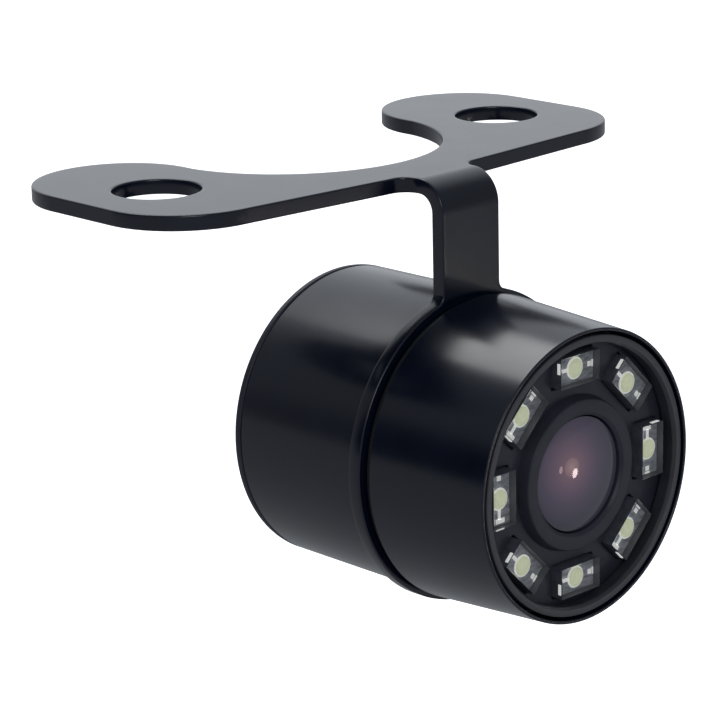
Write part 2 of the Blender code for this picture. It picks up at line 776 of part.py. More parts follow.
def make_lamp_wires():
    """Two insulated leads from the lamp board back to the power board."""
    start = LAMP_BOARD_AHEAD - BOARD_THICKNESS - GAP
    end = POWER_BOARD_AHEAD + GAP + WIRE_RADIUS / 2
    route = (
        (WIRE_HEIGHT, start),
        (WIRE_HEIGHT, 4.0 * MM),
        (WIRE_HEIGHT, -2.0 * MM),
        (WIRE_HEIGHT - 0.3 * MM, -3.6 * MM),
        (WIRE_HEIGHT - 1.1 * MM, -4.8 * MM),
        (WIRE_HEIGHT - 1.4 * MM, end),
    )
    for name, side in (("lamp_wire_red", -1), ("lamp_wire_black", 1)):
        curve = bpy.data.curves.new(name, "CURVE")
        curve.dimensions = "3D"
        curve.bevel_depth = WIRE_RADIUS
        curve.bevel_resolution = 2
        curve.use_fill_caps = True
        spline = curve.splines.new("POLY")
        spline.points.add(len(route) - 1)
        for point, (height, ahead) in zip(spline.points, route):
            point.co = (side * WIRE_OFFSET, height, ahead, 1.0)
        obj = bpy.data.objects.new(name, curve)
        obj.parent = CAMERA_AXIS
        curve.materials.append(MATERIALS[name.replace("lamp_", "")])
        CAMERA.objects.link(obj)


def make_clamp_washer():
    rear = SHEET / 2 + FINE_GAP
    front = SHOULDER_AHEAD - FINE_GAP
    ring("clamp_washer", SPIGOT_RADIUS + GAP, 12.75 * MM, rear, front, "rubber")


make_bracket()
make_clamp_washer()
make_front_barrel()
make_rear_barrel()
make_rear_cap()
make_mask()
make_bezel()
make_lamps()
make_lens()
make_lens_holder()
make_sensor_board()
make_power_board()
make_lamp_wires()
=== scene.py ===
"""Looks of the reversing camera: fine meshes, materials, light and camera round the CAD frame.

The nodes that need finer detail are replaced by pieces turned, cut or folded here. The others keep
their CAD shape and get a material. Everything is in metres: x to the right, y to the rear, z up.
"""

from math import acos, atan2, cos, degrees, pi, radians, sin, sqrt, tan

import bmesh
import bpy
from mathutils import Matrix, Vector


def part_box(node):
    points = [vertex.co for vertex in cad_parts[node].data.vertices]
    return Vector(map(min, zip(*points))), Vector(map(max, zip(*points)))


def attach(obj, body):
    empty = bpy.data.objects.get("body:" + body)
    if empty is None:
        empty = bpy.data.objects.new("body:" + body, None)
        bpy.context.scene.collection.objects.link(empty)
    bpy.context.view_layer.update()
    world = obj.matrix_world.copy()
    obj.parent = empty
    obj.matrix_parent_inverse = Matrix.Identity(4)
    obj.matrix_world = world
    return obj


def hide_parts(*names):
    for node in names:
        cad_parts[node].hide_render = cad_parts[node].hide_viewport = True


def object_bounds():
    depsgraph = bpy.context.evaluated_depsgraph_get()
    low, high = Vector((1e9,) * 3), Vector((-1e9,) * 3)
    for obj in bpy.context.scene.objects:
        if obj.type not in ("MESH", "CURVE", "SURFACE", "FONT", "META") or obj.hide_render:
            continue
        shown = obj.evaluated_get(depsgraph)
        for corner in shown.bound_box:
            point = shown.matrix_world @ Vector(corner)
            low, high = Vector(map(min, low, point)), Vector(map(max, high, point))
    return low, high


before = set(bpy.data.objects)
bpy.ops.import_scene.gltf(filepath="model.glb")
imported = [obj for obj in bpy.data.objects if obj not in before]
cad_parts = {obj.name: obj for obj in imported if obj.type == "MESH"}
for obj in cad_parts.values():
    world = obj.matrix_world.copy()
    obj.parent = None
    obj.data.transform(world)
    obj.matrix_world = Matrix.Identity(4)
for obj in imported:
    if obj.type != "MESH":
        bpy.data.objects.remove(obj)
CAD_LOW, CAD_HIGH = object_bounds()

MM = 0.001
LAMPS = 8
SHARP_TURN = radians(50)  # edges that turn by more than this stay sharp
GLASS_IOR = 1.5

# ---------------------------------------------------------------- places from the frame
barrel_low, barrel_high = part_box("front_barrel")
bracket_low, bracket_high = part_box("bracket")
rear_low, rear_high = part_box("rear_barrel")
cap_low, cap_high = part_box("rear_cap")
washer_low, washer_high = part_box("clamp_washer")
mask_low, mask_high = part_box("lamp_mask")
bezel_low, bezel_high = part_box("bezel_ring")

AXIS_Z = (barrel_low.z + barrel_high.z) / 2
RING_RADIUS = AXIS_Z - bracket_low.z
SHEET = 1.3 * MM
NECK_Y = bracket_low.y + SHEET / 2  # the clamp ring's middle plane


def ahead_of(y):
    """Distance of a world y ahead of the clamp ring, towards the lens."""
    return NECK_Y - y


# ---------------------------------------------------------------- material helpers
def new_material(name, colour, roughness, metallic=0.0):
    material = bpy.data.materials.new(name)
    material.use_nodes = True
    shader = material.node_tree.nodes["Principled BSDF"]
    shader.inputs["Base Color"].default_value = (*colour, 1.0)
    shader.inputs["Roughness"].default_value = roughness
    shader.inputs["Metallic"].default_value = metallic
    return material


def add_node(material, kind, **values):
    node = material.node_tree.nodes.new(kind)
    for name, value in values.items():
        if name in node.inputs:
            node.inputs[name].default_value = value
        else:
            setattr(node, name, value)
    return node


def link(material, source, target):
    material.node_tree.links.new(source, target)


def shader_of(material):
    return material.node_tree.nodes["Principled BSDF"]


def object_noise(material, scale, detail=3.0, stretch=(1.0, 1.0, 1.0)):
    """Noise in the piece's own space, so it moves with the piece."""
    coords = add_node(material, "ShaderNodeTexCoord")
    mapping = add_node(material, "ShaderNodeMapping")
    mapping.inputs["Scale"].default_value = stretch
    noise = add_node(material, "ShaderNodeTexNoise", Scale=scale, Detail=detail)
    link(material, coords.outputs["Object"], mapping.inputs["Vector"])
    link(material, mapping.outputs["Vector"], noise.inputs["Vector"])
    return noise.outputs["Fac"]


def ramp(material, fac, stops):
    """A colour ramp; stops are (position, (r, g, b))."""
    node = add_node(material, "ShaderNodeValToRGB")
    elements = node.color_ramp.elements
    while len(elements) < len(stops):
        elements.new(0.5)
    for element, (position, colour) in zip(elements, stops):
        element.position = position
        element.color = (*colour, 1.0)
    link(material, fac, node.inputs["Fac"])
    return node.outputs["Color"]


def grey_range(material, fac, low, high):
    """Remaps a 0 to 1 value to the range from low to high."""
    node = add_node(material, "ShaderNodeMapRange")
    node.inputs["To Min"].default_value = low
    node.inputs["To Max"].default_value = high
    link(material, fac, node.inputs["Value"])
    return node.outputs["Result"]


def bump(material, height, strength, distance):
    node = add_node(material, "ShaderNodeBump", Strength=strength, Distance=distance)
    link(material, height, node.inputs["Height"])
    link(material, node.outputs["Normal"], shader_of(material).inputs["Normal"])


def mottled(material, scale, colour_a, colour_b, rough_a, rough_b, stretch=(1.0, 1.0, 1.0)):
    """Slow change of colour and roughness over the surface."""
    fac = object_noise(material, scale, 4.0, stretch)
    shader = shader_of(material)
    colour = ramp(material, fac, ((0.3, colour_a), (0.7, colour_b)))
    link(material, colour, shader.inputs["Base Color"])
    link(material, grey_range(material, fac, rough_a, rough_b), shader.inputs["Roughness"])


# ---------------------------------------------------------------- materials
def make_black_coat():
    """Satin black stoved coating with a faint orange peel."""
    material = new_material("black_coat", (0.0018, 0.0045, 0.0145), 0.2)
    mottled(material, 260, (0.0013, 0.0036, 0.012), (0.0024, 0.0054, 0.017), 0.17, 0.24)
    bump(material, object_noise(material, 1800, 2.0), 0.05, 0.02 * MM)
    return material


def make_black_plastic():
    """Satin black moulding with a fine spark texture."""
    material = new_material("black_plastic", (0.029, 0.032, 0.046), 0.4)
    shader_of(material).inputs["Specular IOR Level"].default_value = 0.25
    mottled(material, 400, (0.024, 0.027, 0.039), (0.034, 0.037, 0.053), 0.35, 0.45)
    bump(material, object_noise(material, 9000, 2.0), 0.08, 0.01 * MM)
    return material


def make_bezel_grey():
    """Dark grey ring, turned, with fine marks round its axis."""
    material = new_material("bezel_grey", (0.03, 0.032, 0.042), 0.34)
    mottled(material, 500, (0.026, 0.028, 0.037), (0.036, 0.038, 0.048), 0.3, 0.4)
    bump(material, object_noise(material, 4000, 1.0, (1.0, 12.0, 1.0)), 0.06, 0.01 * MM)
    return material


def make_rubber():
    material = new_material("rubber", (0.006, 0.006, 0.0065), 0.62)
    mottled(material, 900, (0.005, 0.005, 0.0055), (0.010, 0.010, 0.011), 0.55, 0.72)
    bump(material, object_noise(material, 6000, 4.0), 0.25, 0.02 * MM)
    return material


def make_circuit_board():
    """Green solder mask with faint copper tracks under it."""
    material = new_material("circuit_board", (0.01, 0.06, 0.03), 0.35)
    coords = add_node(material, "ShaderNodeTexCoord")
    tracks = add_node(material, "ShaderNodeTexBrick", Scale=700.0)
    tracks.inputs["Mortar Size"].default_value = 0.05
    tracks.inputs["Color1"].default_value = (0.006, 0.045, 0.02, 1.0)
    tracks.inputs["Color2"].default_value = (0.008, 0.055, 0.026, 1.0)
    tracks.inputs["Mortar"].default_value = (0.02, 0.12, 0.05, 1.0)
    turned = add_node(material, "ShaderNodeMapping")
    turned.inputs["Rotation"].default_value = (radians(90), 0.0, 0.0)
    link(material, coords.outputs["Object"], turned.inputs["Vector"])
    link(material, turned.outputs["Vector"], tracks.inputs["Vector"])
    link(material, tracks.outputs["Color"], shader_of(material).inputs["Base Color"])
    bump(material, tracks.outputs["Fac"], 0.3, 0.02 * MM)
    return material


def make_clear_block():
    """The lamp's clear moulding."""
    material = new_material("clear_block", (0.93, 0.95, 0.96), 0.04)
    shader = shader_of(material)
    shader.inputs["Transmission Weight"].default_value = 1.0
    shader.inputs["IOR"].default_value = GLASS_IOR
    bump(material, object_noise(material, 700, 2.0), 0.12, 0.03 * MM)
    return material


def make_lamp_side():
    """The block's frosted side, with no clear view in."""
    material = new_material("lamp_side", (0.07, 0.075, 0.1), 0.5)
    mottled(material, 1500, (0.05, 0.055, 0.075), (0.09, 0.095, 0.12), 0.4, 0.6)
    return material


def make_lamp_carrier():
    """Dark silvery lead frame and chip carrier seen through the clear block, with a painted glow
    for the light the block would gather.
    """
    material = new_material("lamp_carrier", (0.2, 0.21, 0.23), 0.4, 0.3)
    mottled(material, 900, (0.07, 0.074, 0.088), (0.5, 0.52, 0.56), 0.3, 0.5, (1.0, 1.0, 3.0))
    # painted glow on the carrier
    paint_in_glow(material, (0.85, 0.9, 1.0), 0.05)
    bump(material, object_noise(material, 3000, 3.0), 0.3, 0.05 * MM)
    return material


def paint_in_glow(material, colour, strength):
    """Painted light: a weak glow of its own, standing in for what the clear block would gather from
    outside.
    """
    shader = shader_of(material)
    shader.inputs["Emission Color"].default_value = (*colour, 1.0)
    shader.inputs["Emission Strength"].default_value = strength


def make_phosphor():
    """Pale yellow-green phosphor, its tone changing at random, with a painted glow of its own."""
    material = new_material("phosphor", (0.52, 0.55, 0.33), 0.5)
    mottled(material, 2500, (0.49, 0.53, 0.31), (0.60, 0.63, 0.41), 0.45, 0.6)
    # painted glow on the phosphor
    paint_in_glow(material, (0.62, 0.66, 0.46), 0.55)
    bump(material, object_noise(material, 9000, 3.0), 0.2, 0.02 * MM)
    return material


def make_lamp_white():
    material = new_material("lamp_white", (0.86, 0.87, 0.84), 0.4)
    mottled(material, 3000, (0.80, 0.81, 0.78), (0.92, 0.93, 0.90), 0.35, 0.5)
    # painted glow on the white leads
    paint_in_glow(material, (0.95, 0.96, 0.92), 0.4)
    return material


PAINTED_GLOW_ASIDE = 0.25  # the middle of the painted glow in a lens's colour, beside its axis, as a share of the lens's radius
PAINTED_GLOW_ABOVE = 0.2  # and above its axis


def distance_from_painted_glow(material, reach):
    """0 at the middle of the painted glow, to 1 at the given reach from there."""
    coords = add_node(material, "ShaderNodeTexCoord")
    offset = add_node(material, "ShaderNodeVectorMath", operation="SUBTRACT")
    offset.inputs[1].default_value = (-reach * PAINTED_GLOW_ASIDE, 0.0, AXIS_Z + reach * PAINTED_GLOW_ABOVE)
    across = add_node(material, "ShaderNodeVectorMath", operation="MULTIPLY")
    across.inputs[1].default_value = (1.0, 0.0, 1.0)
    length = add_node(material, "ShaderNodeVectorMath", operation="LENGTH")
    spread = add_node(material, "ShaderNodeMapRange")
    spread.inputs["From Max"].default_value = reach
    link(material, coords.outputs["Object"], offset.inputs[0])
    link(material, offset.outputs["Vector"], across.inputs[0])
    link(material, across.outputs["Vector"], length.inputs[0])
    link(material, length.outputs["Value"], spread.inputs["Value"])
    return spread.outputs["Result"]


def make_glass_with_painted_glow(name, stops, reach):
    """Lens glass with a painted glow in its colour, standing in for the reflections inside the
    lens: purple-pink beside the axis, fading towards its rim.
    """
    material = new_material(name, (0.05, 0.03, 0.045), 0.03)
    shader = shader_of(material)
    spread = distance_from_painted_glow(material, reach)
    # painted glow: the base colour follows the distance from the glow's middle
    link(material, ramp(material, spread, stops), shader.inputs["Base Color"])
    shader.inputs["Specular Tint"].default_value = (1.0, 0.86, 0.93, 1.0)
    shader.inputs["IOR"].default_value = GLASS_IOR
    bump(material, object_noise(material, 60, 1.0), 0.01, 0.01 * MM)
    return material


def make_dark_metal():
    material = new_material("dark_metal", (0.012, 0.012, 0.013), 0.38, 0.4)
    mottled(material, 900, (0.009, 0.009, 0.010), (0.02, 0.02, 0.022), 0.32, 0.46)
    bump(material, object_noise(material, 5000, 1.0, (1.0, 10.0, 1.0)), 0.1, 0.01 * MM)
    return material


def make_steel():
    material = new_material("steel", (0.6, 0.6, 0.62), 0.28, 1.0)
    mottled(material, 1200, (0.52, 0.52, 0.54), (0.68, 0.68, 0.70), 0.22, 0.36)
    bump(material, object_noise(material, 5000, 2.0), 0.08, 0.01 * MM)
    return material


def make_brass():
    material = new_material("brass", (0.75, 0.56, 0.25), 0.3, 1.0)
    mottled(material, 1000, (0.66, 0.48, 0.20), (0.80, 0.62, 0.30), 0.24, 0.38)
    return material


def make_chip():
    """Moulded black component bodies."""
    material = new_material("chip", (0.02, 0.02, 0.022), 0.5)
    mottled(material, 2500, (0.014, 0.014, 0.016), (0.028, 0.028, 0.030), 0.44, 0.6)
    bump(material, object_noise(material, 12000, 3.0), 0.2, 0.02 * MM)
    return material


def make_filter_glass():
    material = new_material("filter_glass", (0.45, 0.75, 0.82), 0.03)
    shader = shader_of(material)
    shader.inputs["Transmission Weight"].default_value = 0.8
    shader.inputs["IOR"].default_value = GLASS_IOR
    mottled(material, 300, (0.40, 0.70, 0.78), (0.50, 0.78, 0.84), 0.02, 0.05)
    return material


def make_socket_white():
    material = new_material("socket_white", (0.80, 0.78, 0.72), 0.45)
    mottled(material, 800, (0.76, 0.74, 0.67), (0.84, 0.82, 0.76), 0.4, 0.52)
    bump(material, object_noise(material, 7000, 2.0), 0.1, 0.02 * MM)
    return material


def make_wire(name, dark, light):
    material = new_material(name, dark, 0.4)
    mottled(material, 700, dark, light, 0.34, 0.48)
    bump(material, object_noise(material, 3000, 2.0), 0.1, 0.02 * MM)
    return material


LENS_RADIUS = 4.8 * MM
INNER_LENS_RADIUS = 3.5 * MM
FRONT_GLASS_PAINTED_GLOW = (  # painted glow: how far out from its middle, and the colour there
    (0.00, (0.600, 0.400, 0.400)),
    (0.08, (0.500, 0.320, 0.335)),
    (0.15, (0.420, 0.265, 0.295)),
    (0.18, (0.300, 0.190, 0.235)),
    (0.40, (0.215, 0.148, 0.205)),
    (0.65, (0.130, 0.106, 0.155)),
    (1.00, (0.075, 0.074, 0.105)),
)
# the inner lenses' painted glow: how far out from its middle, and the colour there
INNER_GLASS_PAINTED_GLOW = (
    (0.0, (0.115, 0.062, 0.082)),
    (0.4, (0.080, 0.046, 0.064)),
    (1.0, (0.020, 0.018, 0.024)),
)
MATERIALS = {
    "black_coat": make_black_coat(),
    "black_plastic": make_black_plastic(),
    "bezel_grey": make_bezel_grey(),
    "rubber": make_rubber(),
    "circuit_board": make_circuit_board(),
    "clear_block": make_clear_block(),
    "lamp_side": make_lamp_side(),
    "lamp_carrier": make_lamp_carrier(),
    "phosphor": make_phosphor(),
    "lamp_white": make_lamp_white(),
    "front_glass": make_glass_with_painted_glow("front_glass", FRONT_GLASS_PAINTED_GLOW, LENS_RADIUS),
    "coated_glass": make_glass_with_painted_glow("coated_glass", INNER_GLASS_PAINTED_GLOW, INNER_LENS_RADIUS),
    "dark_metal": make_dark_metal(),
    "steel": make_steel(),
    "brass": make_brass(),
    "chip": make_chip(),
    "filter_glass": make_filter_glass(),
    "socket_white": make_socket_white(),
    "wire_red": make_wire("wire_red", (0.42, 0.012, 0.012), (0.55, 0.03, 0.025)),
    "wire_black": make_wire("wire_black", (0.010, 0.010, 0.011), (0.02, 0.02, 0.022)),
}


# ---------------------------------------------------------------- mesh helpers
def place(x, height, ahead):
    """A point in the barrel's own axes: right, up from the axis, and ahead of the ring."""
    return Vector((x, NECK_Y - ahead, AXIS_Z + height))


def face_outward(shape):
    """Turns the faces of each closed body in the mesh so that they point out of it."""
    shape.normal_update()
    bmesh.ops.recalc_face_normals(shape, faces=shape.faces)
    shape.normal_update()
    if shape.calc_volume(signed=True) < 0:
        bmesh.ops.reverse_faces(shape, faces=shape.faces)
    return shape


def add_piece(name, shape, finish, body, stands_for=()):
    """Turns a bmesh into a finished piece that rides on its body."""
    mesh = bpy.data.meshes.new(name)
    shape.to_mesh(mesh)
    shape.free()
    piece = bpy.data.objects.new(name, mesh)
    bpy.context.scene.collection.objects.link(piece)
    mesh.materials.append(MATERIALS[finish])
    mesh.shade_smooth()
    mesh.set_sharp_from_angle(angle=SHARP_TURN)
    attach(piece, body)
    if stands_for:
        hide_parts(*stands_for)
    return piece


def even_normals(piece):
    """Keeps flat faces flat in the shading, so only the eased edges turn the light."""
    modifier = piece.modifiers.new("normals", "WEIGHTED_NORMAL")
    modifier.keep_sharp = True
    modifier.weight = 100
    return piece


MOST_OF_SIDE = 0.45  # the most of a side that the rounding of one corner takes


def eased(points, radius, steps=4):
    """A closed outline with each corner rounded."""
    result = []
    count = len(points)
    for number, corner in enumerate(points):
        here = Vector(corner)
        back = Vector(points[number - 1]) - here
        on = Vector(points[(number + 1) % count]) - here
        half = back.angle(on) / 2
        reach = min(radius / tan(half), back.length * MOST_OF_SIDE, on.length * MOST_OF_SIDE)
        inward = (back.normalized() + on.normalized()).normalized()
        centre = here + inward * (reach * tan(half) / sin(half))
        first = here + back.normalized() * reach - centre
        last = here + on.normalized() * reach - centre
        turn = first.angle_signed(last)
        for step in range(steps + 1):
            part = Matrix.Rotation(-turn * step / steps, 2)
            spot = centre + part @ first
            result.append((spot.x, spot.y))
    return result


def same(one, two):
    """Whether two lengths are equal but for rounding."""
    return abs(one - two) < 1e-7


def turned(profile, segments=160, thread=None):
    """A profile of (radius, ahead) turned about the barrel axis.

    thread is (radius, pitch, depth): profile points at that radius get a right-hand screw thread.
    A profile that starts on the axis also ends there.
    """
    shape = bmesh.new()
    rings = []
    for radius, ahead in profile:
        if radius == 0.0:
            rings.append([shape.verts.new(place(0.0, 0.0, ahead))])
            continue
        ring = []
        for step in range(segments):
            angle = 2 * pi * step / segments
            reach = radius
            if thread and same(radius, thread[0]):
                phase = (ahead / thread[1] + step / segments) % 1.0
                reach -= thread[2] * abs(2 * phase - 1)
            ring.append(shape.verts.new(place(reach * sin(angle), reach * cos(angle), ahead)))
        rings.append(ring)
    pairs = list(zip(rings, rings[1:]))
    if len(rings[0]) > 1:
        pairs.append((rings[-1], rings[0]))
    for one, two in pairs:
        for step in range(segments):
            following = (step + 1) % segments
            if len(one) == 1:
                shape.faces.new((one[0], two[step], two[following]))
            elif len(two) == 1:
                shape.faces.new((one[step], two[0], one[following]))
            else:
                shape.faces.new((one[step], two[step], two[following], one[following]))
    return face_outward(shape)


def turned_piece(name, profile, finish, body, stands_for=(), segments=160, thread=None):
    piece = add_piece(name, turned(profile, segments, thread), finish, body, stands_for)
    return even_normals(piece)


POINTS_PER_PITCH = 6


def with_thread(outline, radius, start, end, pitch):
    """The outline with points along its threaded length, close enough together for the pitch.

    The run starts after the last outline point at that radius that is ahead of start.
    """
    steps = int(abs(end - start) / (pitch / POINTS_PER_PITCH))
    run = [(radius, start + (end - start) * step / steps) for step in range(steps + 1)]
    on_face = [i for i, (r, ahead) in enumerate(outline) if same(r, radius) and ahead > start]
    at = max(on_face) + 1
    return outline[:at] + run + outline[at:]


def arc(centre, radius, start, end, steps):
    """Points from one angle to the other, in degrees, with both ends."""
    points = []
    for step in range(steps + 1):
        angle = radians(start + (end - start) * step / steps)
        points.append((centre[0] + radius * cos(angle), centre[1] + radius * sin(angle)))
    return points


def circle(centre, radius, steps):
    return arc(centre, radius, 0, 360, steps)[:-1]


def rectangle(centre, size, corner, turn=0.0, steps=4):
    """A rectangle with rounded corners, turned about its centre."""
    x, y = size[0] / 2 - corner, size[1] / 2 - corner
    points = []
    for dx, dy, start in ((x, y, 0), (-x, y, 90), (-x, -y, 180), (x, -y, 270)):
        points += arc((dx, dy), corner, start, start + 90, steps)
    rotate = Matrix.Rotation(turn, 2)
    return [tuple(rotate @ Vector(point) + Vector(centre)) for point in points]


def signed_area(outline):
    """Above zero for an outline that runs anticlockwise."""
    following = outline[1:] + outline[:1]
    return sum(a[0] * b[1] - b[0] * a[1] for a, b in zip(outline, following)) / 2


def inset(outline, distance):
    """The outline moved sideways to its left by distance. Points may repeat in it."""
    result = []
    count = len(outline)
    for number, point in enumerate(outline):
        here = Vector(point)
        along = here - Vector(outline[number - 1])
        onward = Vector(outline[(number + 1) % count]) - here
        if along.length < 1e-9:
            along = onward
        if onward.length < 1e-9:
            onward = along
        beside = Vector((-along.y, along.x)).normalized()
        left = (beside + Vector((-onward.y, onward.x)).normalized()).normalized()
        stretch = left.dot(beside)
        result.append(tuple(here + left * (distance / max(stretch, 0.5))))
    return result


FLAT_BORDER = 0.25 * MM  # narrow flat faces inside the eased edges keep their shading off the plate


def sheet(outlines, thickness, edge, steps=4):
    """A flat plate in the xy plane with eased edges. The first outline is the outside."""
    shape = bmesh.new()
    top_edges, bottom_edges = [], []
    for number, outline in enumerate(outlines):
        if (signed_area(outline) > 0) != (number == 0):
            outline = outline[::-1]
        levels = [(edge + FLAT_BORDER, thickness / 2)]
        for step in range(steps + 1):
            angle = pi / 2 * step / steps
            levels.append((edge * (1 - sin(angle)), thickness / 2 - edge * (1 - cos(angle))))
        levels += [(reach, -height) for reach, height in reversed(levels)]
        loops = []
        for reach, height in levels:
            loops.append([shape.verts.new((x, y, height)) for x, y in inset(outline, reach)])
        count = len(outline)
        for one, two in zip(loops, loops[1:]):
            for at in range(count):
                following = (at + 1) % count
                shape.faces.new((one[at], two[at], two[following], one[following]))
        for loop, edges in ((loops[0], top_edges), (loops[-1], bottom_edges)):
            for at in range(count):
                edges.append(shape.edges.get((loop[at], loop[(at + 1) % count])))
    for edges in (top_edges, bottom_edges):
        bmesh.ops.triangle_fill(shape, use_beauty=True, edges=edges)
    return face_outward(shape)


def stand_up(shape, middle_ahead):
    """Turns a plate from the xy plane to lie across the barrel axis at that place."""
    for vertex in shape.verts:
        vertex.co = place(vertex.co.x, vertex.co.y, middle_ahead + vertex.co.z)
    return face_outward(shape)


def box_shape(centre, size, edge, segments=2):
    """A box with eased edges. Its centre and size are along, across and ahead."""
    shape = bmesh.new()
    bmesh.ops.create_cube(shape, size=1.0)
    bmesh.ops.scale(shape, vec=size, verts=shape.verts)
    bmesh.ops.bevel(
        shape,
        geom=shape.edges[:] + shape.verts[:],
        offset=edge,
        segments=segments,
        profile=0.5,
        affect="EDGES",
    )
    bmesh.ops.translate(shape, vec=centre, verts=shape.verts)
    return shape


def to_barrel_axes(shape, turn=0.0, offset=(0.0, 0.0)):
    """Turns a shape about its own z, moves it sideways, and puts it in the barrel's axes."""
    rotate = Matrix.Rotation(turn, 3, "Z")
    for vertex in shape.verts:
        spot = rotate @ vertex.co
        vertex.co = place(spot.x + offset[0], spot.y + offset[1], spot.z)
    return face_outward(shape)


def dome(radius, edge, apex, steps):
    """Profile points from the axis out to the edge of a shallow spherical face."""
    sag = apex - edge
    sphere = (radius**2 + sag**2) / (2 * abs(sag))
    sign = 1 if sag > 0 else -1
    points = []
    for step in range(steps + 1):
        r = radius * step / steps
        points.append((r, apex - sign * (sphere - sqrt(sphere**2 - r**2))))
    return points


# ---------------------------------------------------------------- camera, light, floor
CAMERA_AZIMUTH = radians(-43.45)
CAMERA_ELEVATION = radians(16.01)
CAMERA_ROLL = radians(1.31)
CAMERA_DISTANCE = 253.2 * MM
CAMERA_ASIDE = 9.16 * MM  # ring centre right of the picture's centre
CAMERA_UNDER = 7.01 * MM  # ring centre below the picture's centre
CAMERA_LENS = 150.0


def make_camera():
    a, e = CAMERA_AZIMUTH, CAMERA_ELEVATION
    back = Vector((sin(a) * cos(e), -cos(a) * cos(e), sin(e)))
    right = Vector((cos(a), sin(a), 0.0))
    up = back.cross(right)
    rolled_right = right * cos(CAMERA_ROLL) - up * sin(CAMERA_ROLL)
    rolled_up = right * sin(CAMERA_ROLL) + up * cos(CAMERA_ROLL)
    data = bpy.data.cameras.new("camera")
    data.lens = CAMERA_LENS
    data.sensor_width = 36.0
    data.clip_start = 0.01
    data.clip_end = 20.0
    camera = bpy.data.objects.new("camera", data)
    bpy.context.scene.collection.objects.link(camera)
    ring_centre = place(0.0, 0.0, 0.0)
    aim = ring_centre - rolled_right * CAMERA_ASIDE + rolled_up * CAMERA_UNDER
    turn = Matrix((rolled_right, rolled_up, back)).transposed().to_4x4()
    camera.matrix_world = Matrix.Translation(aim + back * CAMERA_DISTANCE) @ turn
    bpy.context.scene.camera = camera


STUDIO_TINT = (0.93, 0.98, 1.04, 1.0)
WHITE = (1.0, 1.0, 1.0, 1.0)
GLOW_DIRECTION = (0.557, 0.663, 0.5)
FLAG_DIRECTION = (-0.88, 0.468, 0.087)
FLOOR_SIZE = 12.0
FLOOR_DROP = 0.28
FLOOR_LIGHT = 0.36


def area_light(name, direction, distance, size, power, colour=WHITE[:3], shape="RECTANGLE"):
    """A soft light that faces the barrel from a direction."""
    data = bpy.data.lights.new(name, "AREA")
    data.shape = shape
    data.size, data.size_y = size
    data.energy = power
    data.color = colour
    light = bpy.data.objects.new(name, data)
    bpy.context.scene.collection.objects.link(light)
    towards = Vector(direction).normalized()
    light.location = place(0.0, 0.0, 0.0) + towards * distance
    light.rotation_mode = "QUATERNION"
    light.rotation_quaternion = (-towards).to_track_quat("-Z", "Y")
    return light


def eased_step(tree, source, span, levels):
    """Goes smoothly from one level to the other as the source crosses the span."""
    node = tree.nodes.new("ShaderNodeMapRange")
    node.interpolation_type = "SMOOTHSTEP"
    node.inputs["From Min"].default_value, node.inputs["From Max"].default_value = span
    node.inputs["To Min"].default_value, node.inputs["To Max"].default_value = levels
    tree.links.new(source, node.inputs["Value"])
    return node.outputs["Result"]


def nearness(tree, coords, direction):
    """1 straight in the given direction, and less further from it."""
    node = tree.nodes.new("ShaderNodeVectorMath")
    node.operation = "DOT_PRODUCT"
    node.inputs[1].default_value = direction
    tree.links.new(coords, node.inputs[0])
    return node.outputs["Value"]


def calculate(tree, operation, one, two):
    node = tree.nodes.new("ShaderNodeMath")
    node.operation = operation
    tree.links.new(one, node.inputs[0])
    tree.links.new(two, node.inputs[1])
    return node.outputs["Value"]


def make_world():
    """White to the eye. As a light it is dim, with a broad glow behind and a flag on the left."""
    world = bpy.data.worlds.new("studio")
    bpy.context.scene.world = world
    world.use_nodes = True
    tree = world.node_tree
    background = tree.nodes["Background"]
    coords = tree.nodes.new("ShaderNodeTexCoord").outputs["Generated"]
    split = tree.nodes.new("ShaderNodeSeparateXYZ")
    tree.links.new(coords, split.inputs["Vector"])
    base = eased_step(tree, split.outputs["Z"], (-0.35, 0.05), (0.38, 0.26))
    glow = eased_step(tree, nearness(tree, coords, GLOW_DIRECTION), (0.5, 0.98), (0.0, 0.75))
    flag = eased_step(tree, nearness(tree, coords, FLAG_DIRECTION), (0.92, 0.985), (1.0, 0.08))
    light = calculate(tree, "MULTIPLY", calculate(tree, "ADD", base, glow), flag)

    seen = tree.nodes.new("ShaderNodeLightPath").outputs["Is Camera Ray"]
    strength = tree.nodes.new("ShaderNodeMix")
    strength.data_type = "FLOAT"
    strength.inputs["B"].default_value = 1.0
    tree.links.new(seen, strength.inputs["Factor"])
    tree.links.new(light, strength.inputs["A"])
    tree.links.new(strength.outputs["Result"], background.inputs["Strength"])

    tint = tree.nodes.new("ShaderNodeMixRGB")
    tint.inputs["Color1"].default_value = STUDIO_TINT
    tint.inputs["Color2"].default_value = WHITE
    tree.links.new(seen, tint.inputs["Fac"])
    tree.links.new(tint.outputs["Color"], background.inputs["Color"])


